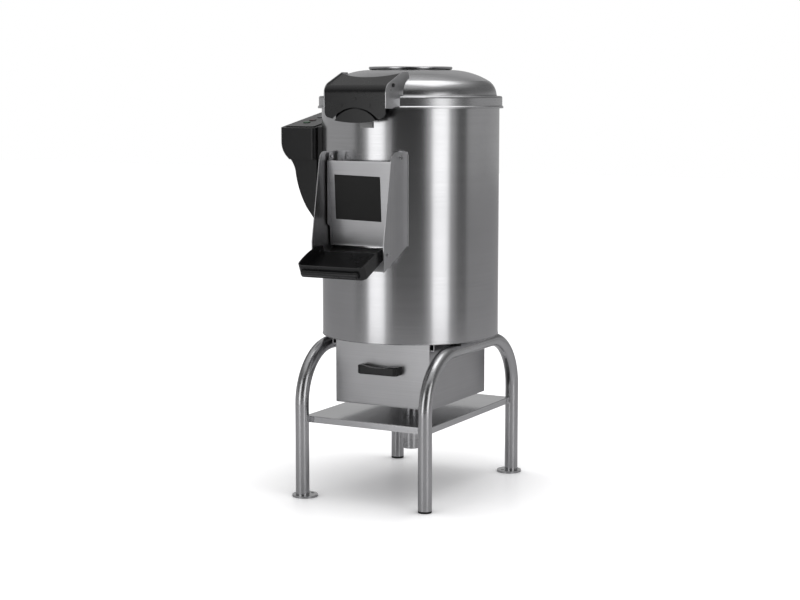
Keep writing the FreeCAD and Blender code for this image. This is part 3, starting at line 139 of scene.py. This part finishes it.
def grain_group():
    """Fine lines in one direction with broad tone changes, as on brushed sheet."""
    group, source, sink = new_group(
        "brushed_grain",
        [("Stretch", "NodeSocketVector", (3.0, 3.0, 700.0)), ("Roughness", "NodeSocketFloat", 0.27),
         ("Spread", "NodeSocketFloat", 0.08), ("Colour", "NodeSocketColor", (0.56, 0.56, 0.57, 1.0))],
        [("Colour", "NodeSocketColor"), ("Roughness", "NodeSocketFloat"), ("Height", "NodeSocketFloat")])
    links = group.links
    place = add_node(group, "ShaderNodeTexCoord")
    scale = add_node(group, "ShaderNodeVectorMath", operation="MULTIPLY")
    links.new(place.outputs["Object"], scale.inputs[0])
    links.new(source.outputs["Stretch"], scale.inputs[1])
    lines = fill(add_node(group, "ShaderNodeTexNoise"), Scale=1.0, Detail=4.0, Roughness=0.65)
    links.new(scale.outputs[0], lines.inputs["Vector"])
    broad = fill(add_node(group, "ShaderNodeTexNoise"), Scale=7.0, Detail=2.0, Roughness=0.5)
    links.new(place.outputs["Object"], broad.inputs["Vector"])
    centred = add_node(group, "ShaderNodeMath", operation="SUBTRACT")
    links.new(lines.outputs[0], centred.inputs[0])
    centred.inputs[1].default_value = 0.5
    spread = add_node(group, "ShaderNodeMath", operation="MULTIPLY_ADD")
    links.new(centred.outputs[0], spread.inputs[0])
    links.new(source.outputs["Spread"], spread.inputs[1])
    links.new(source.outputs["Roughness"], spread.inputs[2])
    tone = fill(add_node(group, "ShaderNodeMapRange"), From_Min=0.3, From_Max=0.7, To_Min=0.94, To_Max=1.03)
    links.new(broad.outputs[0], tone.inputs["Value"])
    fine = fill(add_node(group, "ShaderNodeMapRange"), From_Min=0.25, From_Max=0.75, To_Min=0.93, To_Max=1.05)
    links.new(lines.outputs[0], fine.inputs["Value"])
    both = add_node(group, "ShaderNodeMath", operation="MULTIPLY")
    links.new(tone.outputs[0], both.inputs[0])
    links.new(fine.outputs[0], both.inputs[1])
    colour = add_node(group, "ShaderNodeVectorMath", operation="SCALE")
    links.new(source.outputs["Colour"], colour.inputs[0])
    links.new(both.outputs[0], colour.inputs["Scale"])
    links.new(colour.outputs[0], sink.inputs["Colour"])
    links.new(spread.outputs[0], sink.inputs["Roughness"])
    links.new(lines.outputs[0], sink.inputs["Height"])
    return group


def texture_group():
    """Fine pebble texture with faint wear, as on moulded plastic and rubber."""
    group, source, sink = new_group(
        "moulded_grain",
        [("Size", "NodeSocketFloat", 900.0), ("Roughness", "NodeSocketFloat", 0.5),
         ("Colour", "NodeSocketColor", (0.02, 0.02, 0.02, 1.0)), ("Wear", "NodeSocketFloat", 0.3)],
        [("Colour", "NodeSocketColor"), ("Roughness", "NodeSocketFloat"), ("Height", "NodeSocketFloat")])
    links = group.links
    place = add_node(group, "ShaderNodeTexCoord")
    pebble = fill(add_node(group, "ShaderNodeTexVoronoi"), Randomness=1.0)
    links.new(place.outputs["Object"], pebble.inputs["Vector"])
    links.new(source.outputs["Size"], pebble.inputs["Scale"])
    smear = fill(add_node(group, "ShaderNodeTexNoise"), Scale=22.0, Detail=5.0, Roughness=0.6)
    links.new(place.outputs["Object"], smear.inputs["Vector"])
    mask = fill(add_node(group, "ShaderNodeMapRange"), From_Min=0.45, From_Max=0.8, To_Min=0.0, To_Max=1.0)
    links.new(smear.outputs[0], mask.inputs["Value"])
    amount = add_node(group, "ShaderNodeMath", operation="MULTIPLY")
    links.new(mask.outputs[0], amount.inputs[0])
    links.new(source.outputs["Wear"], amount.inputs[1])
    lift = add_node(group, "ShaderNodeMath", operation="MULTIPLY_ADD")
    links.new(amount.outputs[0], lift.inputs[0])
    lift.inputs[1].default_value = 1.2
    lift.inputs[2].default_value = 1.0
    colour = add_node(group, "ShaderNodeVectorMath", operation="SCALE")
    links.new(source.outputs["Colour"], colour.inputs[0])
    links.new(lift.outputs[0], colour.inputs["Scale"])
    rough = add_node(group, "ShaderNodeMath", operation="MULTIPLY_ADD")
    links.new(smear.outputs[0], rough.inputs[0])
    rough.inputs[1].default_value = 0.12
    links.new(source.outputs["Roughness"], rough.inputs[2])
    links.new(colour.outputs[0], sink.inputs["Colour"])
    links.new(rough.outputs[0], sink.inputs["Roughness"])
    links.new(pebble.outputs["Distance"], sink.inputs["Height"])
    return group


def base_material(name):
    material = bpy.data.materials.new(name)
    material.use_nodes = True
    tree = material.node_tree
    return material, tree, tree.nodes["Principled BSDF"]


def place_group(tree, group, shader, bump_strength, bump_distance):
    effect = tree.nodes.new("ShaderNodeGroup")
    effect.node_tree = group
    tree.links.new(effect.outputs["Colour"], shader.inputs["Base Color"])
    tree.links.new(effect.outputs["Roughness"], shader.inputs["Roughness"])
    bump = tree.nodes.new("ShaderNodeBump")
    bump.inputs["Strength"].default_value = bump_strength
    bump.inputs["Distance"].default_value = bump_distance
    tree.links.new(effect.outputs["Height"], bump.inputs["Height"])
    tree.links.new(bump.outputs["Normal"], shader.inputs["Normal"])
    return effect


def brushed_metal(name, colour, roughness, stretch, anisotropic=0.0, spread=0.08, bump=0.06):
    material, tree, shader = base_material(name)
    shader.inputs["Metallic"].default_value = 1.0
    shader.inputs["Anisotropic"].default_value = anisotropic
    effect = place_group(tree, GROUPS["grain"], shader, bump, 0.0002)
    fill(effect, Stretch=stretch, Roughness=roughness, Spread=spread, Colour=(*colour, 1.0))
    if anisotropic:
        tangent = add_node(tree, "ShaderNodeTangent", direction_type="RADIAL", axis="Z")
        tree.links.new(tangent.outputs[0], shader.inputs["Tangent"])
    return material


def moulded(name, colour, roughness, size=900.0, wear=0.3, bump=0.12, specular=0.5, coat=0.0):
    material, tree, shader = base_material(name)
    shader.inputs["Specular IOR Level"].default_value = specular
    shader.inputs["Coat Weight"].default_value = coat
    shader.inputs["Coat Roughness"].default_value = 0.15
    effect = place_group(tree, GROUPS["moulded"], shader, bump, 0.0002)
    fill(effect, Size=size, Roughness=roughness, Colour=(*colour, 1.0), Wear=wear)
    return material


GROUPS = {}
MATERIALS = {}


def make_materials(finish):
    GROUPS["grain"] = grain_group()
    GROUPS["moulded"] = texture_group()
    steel = tuple(finish.steel_colour)
    rough = finish.steel_roughness
    black = tuple(finish.plastic_colour)
    rubber = tuple(finish.rubber_colour)
    make = MATERIALS
    make["drum_steel"] = brushed_metal("drum_steel", steel, rough - 0.09, (3.0, 3.0, 420.0), 0.35, 0.04, 0.015)
    make["lid_steel"] = brushed_metal("lid_steel", steel, rough, (3.0, 3.0, 300.0), 0.3, 0.03, 0.01)
    # The sheet pieces get a slightly darker copy of the steel colour: painted shade that dims the drawer front and
    # the other sheet pieces
    make["sheet_steel_painted_dim"] = brushed_metal("sheet_steel_painted_dim", tuple(0.96 * c for c in steel), rough + 0.06,
                                        (4.0, 4.0, 620.0))
    make["upright_steel"] = brushed_metal("upright_steel", steel, rough + 0.05, (520.0, 520.0, 5.0))
    make["tube_steel"] = brushed_metal("tube_steel", steel, rough - 0.02, (260.0, 260.0, 260.0), 0.0, 0.05, 0.03)
    # The shelf gets a brighter copy of the steel colour: painted light on the shelf
    make["shelf_steel_painted_bright"] = brushed_metal("shelf_steel_painted_bright", tuple(1.14 * c for c in steel), 0.14, (3.0, 500.0, 500.0),
                                        0.0, 0.05, 0.03)
    make["fastener_steel"] = brushed_metal("fastener_steel", steel, 0.22, (300.0, 300.0, 300.0))
    make["cast_aluminium"] = brushed_metal("cast_aluminium", (0.6, 0.6, 0.6), 0.5, (160.0, 160.0, 160.0), 0.0, 0.2,
                                           0.3)
    make["ground_steel"] = brushed_metal("ground_steel", (0.6, 0.6, 0.6), 0.2, (40.0, 40.0, 900.0))
    make["keeper_steel"] = brushed_metal("keeper_steel", (0.25, 0.25, 0.25), 0.4, (4.0, 4.0, 620.0))
    make["weld_steel"] = brushed_metal("weld_steel", steel, 0.34, (240.0, 240.0, 240.0), 0.0, 0.3, 0.3)
    # Near-black colour of the screw recesses: painted shade
    make["recess_shade"] = moulded("recess_shade", (0.03, 0.03, 0.03), 0.6, 400.0, 0.2, 0.05)
    make["brass"] = brushed_metal("brass", (0.72, 0.55, 0.26), 0.25, (60.0, 900.0, 60.0))
    make["black_plastic"] = moulded("black_plastic", black, 0.2, 900.0, 0.25, 0.05)
    make["housing_plastic"] = moulded("housing_plastic", (0.009, 0.009, 0.0095), 0.34, 700.0, 0.2, 0.06)
    make["rubber"] = moulded("rubber", rubber, 0.6, 500.0, 0.4, 0.2, 0.3)
    make["label_film"] = moulded("label_film", (0.009, 0.009, 0.0088), 0.45, 300.0, 0.1, 0.02, 0.4)
    make["panel_film"] = moulded("panel_film", (0.014, 0.014, 0.0145), 0.22, 300.0, 0.1, 0.02)
    make["print_pale"] = moulded("print_pale", (0.55, 0.55, 0.54), 0.5, 300.0, 0.1, 0.02)
    make["green_key"] = moulded("green_key", (0.012, 0.07, 0.025), 0.35, 600.0, 0.2, 0.05, 0.5, 0.3)
    make["red_key"] = moulded("red_key", (0.035, 0.008, 0.007), 0.35, 600.0, 0.2, 0.05, 0.5, 0.3)
    make["grey_key"] = moulded("grey_key", (0.09, 0.09, 0.093), 0.35, 600.0, 0.2, 0.05, 0.5, 0.3)
    make["board"] = moulded("board", (0.015, 0.13, 0.05), 0.3, 200.0, 0.2, 0.1, 0.5, 0.4)
    make["abrasive"] = moulded("abrasive", (0.13, 0.12, 0.11), 0.8, 260.0, 0.9, 1.0, 0.2)
    make["painted_frame"] = moulded("painted_frame", (0.12, 0.12, 0.125), 0.4, 400.0, 0.3, 0.08)


FINISH_OF = {
    "drum_steel": ["body_shell"],
    "lid_steel": ["lid_dome", "lid_top_disc"],
    "sheet_steel_painted_dim": ["filter_drawer", "drawer_housing", "filter_screen", "base_plate", "drum_floor", "waste_duct",
                    "chute_floor", "port_collar", "discharge_flap"],
    "upright_steel": ["chute_cheeks", "handle_cheeks", "lid_hinge_leaf", "lid_hinge_bracket"],
    "tube_steel": ["stand_arch_left", "stand_arch_right", "drain_pipe", "anchor_plates"],
    "shelf_steel_painted_bright": ["stand_shelf"],
    "fastener_steel": ["stand_bolts", "drawer_handle_screws", "flap_pins", "tray_pivot_screws", "lid_hinge_pin",
                       "latch_pin", "plate_cap"],
    "keeper_steel": ["latch_keeper"],
    "cast_aluminium": ["bearing_housing", "driven_pulley", "motor_pulley", "motor_body"],
    "ground_steel": ["drive_shaft", "motor_shaft", "ball_bearings"],
    "brass": ["water_inlet"],
    "black_plastic": ["handle_cover", "latch_lever", "chute_tray", "tray_grip_bar", "drawer_handle", "leg_caps",
                      "cable_gland", "handle_screws"],
    "housing_plastic": ["control_housing"],
    "rubber": ["rubber_pads", "lid_seal", "flap_seal", "disc_gasket", "shaft_seal", "v_belt"],
    "label_film": ["flap_label"],
    "panel_film": ["control_panel"],
    "green_key": ["start_button"],
    "red_key": ["stop_button"],
    "grey_key": ["timer_button"],
    "board": ["circuit_board"],
    "abrasive": ["abrasive_plate"],
    "painted_frame": ["motor_mount"],
}
ROUND_EDGES = ["filter_drawer", "drawer_housing", "chute_cheeks", "discharge_flap", "handle_cover", "latch_lever",
               "chute_tray", "handle_cheeks", "control_housing", "stand_shelf", "anchor_plates", "flap_label",
               "lid_hinge_leaf", "lid_hinge_bracket", "latch_keeper", "chute_floor", "port_collar"]


class PEELER_OT_finishes(bpy.types.Operator):
    """Give every CAD node its finish and slightly round its edges"""
    bl_idname = "peeler.finishes"
    bl_label = "Dress the CAD Pieces"

    def execute(self, context):
        finish = context.scene.peeler_finish
        make_materials(finish)
        for material, names in FINISH_OF.items():
            for name in names:
                node = NODES[name]
                node.data.materials.clear()
                node.data.materials.append(MATERIALS[material])
        for name in ROUND_EDGES:
            bevel = NODES[name].modifiers.new("rounded_edges", "BEVEL")
            bevel.width = finish.edge_radius
            bevel.segments = 2
            bevel.limit_method = "ANGLE"
            bevel.angle_limit = math.radians(50)
            bevel.use_clamp_overlap = True
            bevel.harden_normals = True
        return {"FINISHED"}


# Small pieces made here
def mesh_piece(name, vertices, faces, material, body, smooth=False):
    mesh = bpy.data.meshes.new(name)
    mesh.from_pydata([tuple(v) for v in vertices], [], faces)
    mesh.update()
    if smooth:
        mesh.shade_smooth()
    piece = bpy.data.objects.new(name, mesh)
    bpy.context.scene.collection.objects.link(piece)
    mesh.materials.append(MATERIALS[material])
    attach(piece, body)
    return piece


def tube(name, path, radius, material, body, sides=8, closed=False):
    """A round bead along a path, with a ring of vertices at each point of it."""
    count = len(path)
    vertices = []
    for i, point in enumerate(path):
        before = path[(i - 1) % count] if closed or i else path[0]
        after = path[(i + 1) % count] if closed or i + 1 < count else path[-1]
        along = (Vector(after) - Vector(before)).normalized()
        across = along.orthogonal().normalized()
        if abs(along.z) < 0.9:
            across = along.cross(Vector((0, 0, 1))).normalized()
        third = along.cross(across)
        for k in range(sides):
            angle = 2 * math.pi * k / sides
            offset = across * math.cos(angle) + third * math.sin(angle)
            swell = 1.0 + 0.12 * math.sin(i * 2.1)
            vertices.append(Vector(point) + offset * radius * swell)
    faces = []
    for i in range(count if closed else count - 1):
        j = (i + 1) % count
        for k in range(sides):
            m = (k + 1) % sides
            faces.append((i * sides + k, i * sides + m, j * sides + m, j * sides + k))
    if not closed:
        faces.append(tuple(range(sides - 1, -1, -1)))
        faces.append(tuple((count - 1) * sides + k for k in range(sides)))
    return mesh_piece(name, vertices, faces, material, body, smooth=True)


class PEELER_OT_welds(bpy.types.Operator):
    """Lay the weld beads of the chute and the rear seam of the drum"""
    bl_idname = "peeler.welds"
    bl_label = "Lay the Weld Beads"

    def execute(self, context):
        cheeks_low = low("chute_cheeks")
        cheeks_high = high("chute_cheeks")
        for side, name in ((-1, "left"), (1, "right")):
            x = side * (cheeks_high.x + WELD_RADIUS * 0.3)
            y = -math.sqrt(DRUM_RADIUS ** 2 - x ** 2) - WELD_RADIUS * 0.2
            start = cheeks_low.z + 50 * MM
            steps = int((cheeks_high.z - 4 * MM - start) / WELD_PITCH)
            path = [(x, y, start + i * WELD_PITCH) for i in range(steps)]
            tube("weld_cheek_" + name, path, WELD_RADIUS, "weld_steel", "machine")
        y = math.sqrt(DRUM_RADIUS ** 2 - SEAM_X ** 2) - WELD_RADIUS * 0.6
        steps = int((high("body_shell").z - DRUM_BOTTOM - 16 * MM) / WELD_PITCH)
        path = [(SEAM_X, y, DRUM_BOTTOM + 4 * MM + i * WELD_PITCH) for i in range(steps)]
        tube("rear_seam", path, WELD_RADIUS * 0.8, "weld_steel", "machine")
        return {"FINISHED"}


def recess_cross(name, place, axis_x, radius, body):
    """A cross recess let into a screw head that faces along X, its near-black colour painted shade."""
    arm = radius * 0.55
    thin = radius * 0.14
    side = 1 if axis_x > 0 else -1
    outline = [(thin, arm), (-thin, arm), (-thin, thin), (-arm, thin), (-arm, -thin), (-thin, -thin),
               (-thin, -arm), (thin, -arm), (thin, -thin), (arm, -thin), (arm, thin), (thin, thin)]
    if side > 0:
        outline = outline[::-1]
    front = [(place[0] + side * 0.00005, place[1] + a, place[2] + b) for a, b in outline]
    middle = (place[0] - side * 0.0004, place[1], place[2])
    faces = [(i, (i + 1) % 12, 12) for i in range(12)]
    return mesh_piece(name, front + [middle], faces, "recess_shade", body)


class PEELER_OT_screw_recesses(bpy.types.Operator):
    """Cut the look of a cross recess into the heads beside the chute, darkened with painted shade"""
    bl_idname = "peeler.screw_recesses"
    bl_label = "Mark the Screw Recesses"

    def execute(self, context):
        for node in ("flap_pins", "tray_pivot_screws"):
            lowest = low(node)
            highest = high(node)
            radius = (highest.z - lowest.z) / 2
            y = (highest.y + lowest.y) / 2
            z = (highest.z + lowest.z) / 2
            for side, x in ((-1, lowest.x), (1, highest.x)):
                inside = x - side * 0.0001
                recess_cross("recess_%s_%s" % (node, "right" if side > 0 else "left"), (inside, y, z), side,
                             radius, "machine")
        return {"FINISHED"}


class PEELER_OT_drum_hem(bpy.types.Operator):
    """Roll a thin polished hem round the lower edge of the drum"""
    bl_idname = "peeler.drum_hem"
    bl_label = "Roll the Drum Hem"

    def execute(self, context):
        radius = DRUM_RADIUS + 0.2 * MM
        path = []
        for i in range(HEM_STEPS):
            angle = 2 * math.pi * i / HEM_STEPS
            path.append((radius * math.cos(angle), radius * math.sin(angle), DRUM_BOTTOM + 1.1 * MM))
        hem = tube("drum_hem", path, 0.9 * MM, "weld_steel", "machine", 6, True)
        hem.data.materials[0] = MATERIALS["tube_steel"]
        return {"FINISHED"}


class PEELER_OT_studio(bpy.types.Operator):
    """Build the pale floor, the soft lamps, the dark cards and the camera"""
    bl_idname = "peeler.studio"
    bl_label = "Build the Studio"

    def execute(self, context):
        studio = context.scene.peeler_studio
        build_world(studio)
        build_floor(studio)
        build_lamps(studio)
        build_camera(studio)
        settings = context.scene.view_settings
        settings.view_transform = "Standard"
        return {"FINISHED"}


FLOOR_HALF = 14.0
CARD_DISTANCE = 2.9
STRIP_DISTANCE = 2.6
STRIP_HEIGHT = 1.7
STRIP_WIDTH = 0.98


def build_world(studio):
    world = bpy.data.worlds.new("plain_room")
    bpy.context.scene.world = world
    world.use_nodes = True
    tree = world.node_tree
    ground = tree.nodes["Background"]
    ground.inputs["Color"].default_value = (1.0, 1.0, 1.0, 1.0)
    rays = tree.nodes.new("ShaderNodeLightPath")
    place = tree.nodes.new("ShaderNodeTexCoord")
    parts = tree.nodes.new("ShaderNodeSeparateXYZ")
    tree.links.new(place.outputs["Generated"], parts.inputs[0])
    sky = tree.nodes.new("ShaderNodeValToRGB")
    stops = sky.color_ramp.elements
    stops[0].position = 0.52
    stops[0].color = (1.0, 1.0, 1.0, 1.0)
    stops[1].position = 0.60
    stops[1].color = (0.45, 0.45, 0.45, 1.0)
    for position, tone in ((0.78, 0.40), (0.90, 1.3), (1.0, 1.5)):
        stop = stops.new(position)
        stop.color = (tone, tone, tone, 1.0)
    height = fill(add_node(tree, "ShaderNodeMapRange"), From_Min=-1.0, From_Max=1.0)
    tree.links.new(parts.outputs["Z"], height.inputs["Value"])
    tree.links.new(height.outputs[0], sky.inputs["Fac"])
    room = add_node(tree, "ShaderNodeMath", operation="MULTIPLY")
    tree.links.new(sky.outputs["Color"], room.inputs[0])
    room.inputs[1].default_value = studio.room_level
    level = fill(add_node(tree, "ShaderNodeMapRange"), To_Max=1.0)
    tree.links.new(rays.outputs["Is Camera Ray"], level.inputs["Value"])
    tree.links.new(room.outputs[0], level.inputs["To Min"])
    tree.links.new(level.outputs[0], ground.inputs["Strength"])


def build_floor(studio):
    mesh = bpy.data.meshes.new("floor")
    h = FLOOR_HALF
    mesh.from_pydata([(-h, -h, 0), (h, -h, 0), (h, h, 0), (-h, h, 0)], [], [(0, 1, 2, 3)])
    floor = bpy.data.objects.new("floor", mesh)
    bpy.context.scene.collection.objects.link(floor)
    material, tree, shader = base_material("pale_floor")
    shader.inputs["Base Color"].default_value = (0.86, 0.855, 0.87, 1.0)
    shader.inputs["Roughness"].default_value = 0.32
    shader.inputs["Specular IOR Level"].default_value = 0.25
    shader.inputs["Emission Color"].default_value = (1.0, 1.0, 1.0, 1.0)
    # The floor's glow for the camera is dimmed by ambient occlusion: painted shadow under and round the machine
    rays = tree.nodes.new("ShaderNodeLightPath")
    shade = fill(add_node(tree, "ShaderNodeAmbientOcclusion", samples=12), Distance=0.5)
    painted_shadow = add_node(tree, "ShaderNodeMath", operation="POWER")
    tree.links.new(shade.outputs["AO"], painted_shadow.inputs[0])
    painted_shadow.inputs[1].default_value = 1.8
    glow = add_node(tree, "ShaderNodeMath", operation="MULTIPLY")
    tree.links.new(painted_shadow.outputs[0], glow.inputs[0])
    glow.inputs[1].default_value = studio.floor_lift
    seen = add_node(tree, "ShaderNodeMath", operation="MULTIPLY")
    tree.links.new(rays.outputs["Is Camera Ray"], seen.inputs[0])
    tree.links.new(glow.outputs[0], seen.inputs[1])
    tree.links.new(seen.outputs[0], shader.inputs["Emission Strength"])
    mesh.materials.append(material)


def round_machine(heading, side_angle, distance, height):
    # A place round the machine, by its angle to the right of the camera
    forward = Vector((math.sin(heading), -math.cos(heading), 0))
    right = Vector((math.cos(heading), math.sin(heading), 0))
    angle = math.radians(side_angle)
    return (forward * math.cos(angle) + right * math.sin(angle)) * distance + Vector((0, 0, height))


def soft_lamp(name, place, target, width, height, power):
    data = bpy.data.lights.new(name, "AREA")
    data.shape = "RECTANGLE"
    data.size = width
    data.size_y = height
    data.energy = power
    lamp = bpy.data.objects.new(name, data)
    lamp.location = place
    lamp.rotation_euler = (Vector(target) - place).to_track_quat("-Z", "Y").to_euler()
    bpy.context.scene.collection.objects.link(lamp)
    lamp.visible_camera = False
    return lamp


def dark_card(name, heading, side_angle, half_angle, low_level, high_level):
    # Tall curved card that only shows in the steel's reflections
    steps = 8
    vertices = []
    faces = []
    for i in range(steps + 1):
        angle = side_angle - half_angle + 2 * half_angle * i / steps
        for height in (0.0, 3.2):
            vertices.append(tuple(round_machine(heading, angle, CARD_DISTANCE, height)))
    for i in range(steps):
        faces.append((2 * i, 2 * i + 2, 2 * i + 3, 2 * i + 1))
    mesh = bpy.data.meshes.new(name)
    mesh.from_pydata(vertices, [], faces)
    card = bpy.data.objects.new(name, mesh)
    bpy.context.scene.collection.objects.link(card)
    material = bpy.data.materials.new(name)
    material.use_nodes = True
    tree = material.node_tree
    tree.nodes.clear()
    glow = tree.nodes.new("ShaderNodeEmission")
    place = tree.nodes.new("ShaderNodeTexCoord")
    parts = tree.nodes.new("ShaderNodeSeparateXYZ")
    tree.links.new(place.outputs["Object"], parts.inputs[0])
    level = fill(add_node(tree, "ShaderNodeMapRange"), From_Min=0.0, From_Max=0.9, To_Min=low_level,
                 To_Max=high_level)
    tree.links.new(parts.outputs["Z"], level.inputs["Value"])
    tree.links.new(level.outputs[0], glow.inputs["Strength"])
    output = tree.nodes.new("ShaderNodeOutputMaterial")
    tree.links.new(glow.outputs[0], output.inputs["Surface"])
    mesh.materials.append(material)
    card.visible_camera = False
    card.visible_diffuse = False
    card.visible_shadow = False
    card.visible_transmission = False


def build_lamps(studio):
    heading = studio.camera_heading
    middle = Vector((0, 0, 0.6))
    for name, angle in (("left_strip", -43.0), ("right_strip", 37.0)):
        place = round_machine(heading, angle, STRIP_DISTANCE, STRIP_HEIGHT / 2)
        soft_lamp(name, place, (0, 0, STRIP_HEIGHT / 2), STRIP_WIDTH, STRIP_HEIGHT, studio.strip_power)
    soft_lamp("top_soft", Vector((0.5, 0.1, 3.0)), middle, 1.6, 1.6, studio.top_power)
    dark_card("front_card", heading, -3.0, 21.0, 0.17, 0.04)
    dark_card("right_card", heading, 66.0, 8.0, 0.18, 0.10)
    dark_card("left_card", heading, -67.0, 6.0, 0.26, 0.12)
    dark_card("rear_glow", heading, 180.0, 22.0, 0.52, 0.45)


def build_camera(studio):
    data = bpy.data.cameras.new("camera")
    data.lens = studio.camera_lens
    data.sensor_width = 36.0
    camera = bpy.data.objects.new("camera", data)
    camera.location = studio.camera_place
    camera.rotation_euler = (math.radians(90) - studio.camera_dip, 0.0, studio.camera_heading)
    bpy.context.scene.collection.objects.link(camera)
    bpy.context.scene.camera = camera


class PEELER_PT_panel(bpy.types.Panel):
    bl_idname = "PEELER_PT_panel"
    bl_label = "Potato Peeler"
    bl_space_type = "VIEW_3D"
    bl_region_type = "UI"
    bl_category = "Peeler"

    def draw(self, context):
        for group in (context.scene.peeler_finish, context.scene.peeler_studio):
            for name in group.__annotations__:
                self.layout.prop(group, name)
        for step in STEPS:
            self.layout.operator(step.bl_idname)


STEPS = (PEELER_OT_finishes, PEELER_OT_welds, PEELER_OT_screw_recesses, PEELER_OT_drum_hem, PEELER_OT_studio)
CLASSES = (PeelerFinish, PeelerStudio, *STEPS, PEELER_PT_panel)


def register():
    for item in CLASSES:
        bpy.utils.register_class(item)
    bpy.types.Scene.peeler_finish = bpy.props.PointerProperty(type=PeelerFinish)
    bpy.types.Scene.peeler_studio = bpy.props.PointerProperty(type=PeelerStudio)


def unregister():
    del bpy.types.Scene.peeler_studio
    del bpy.types.Scene.peeler_finish
    for item in reversed(CLASSES):
        bpy.utils.unregister_class(item)


def main():
    register()
    for step in STEPS:
        area, action = step.bl_idname.split(".")
        getattr(getattr(bpy.ops, area), action)()


if __name__ == "__main__":
    main()
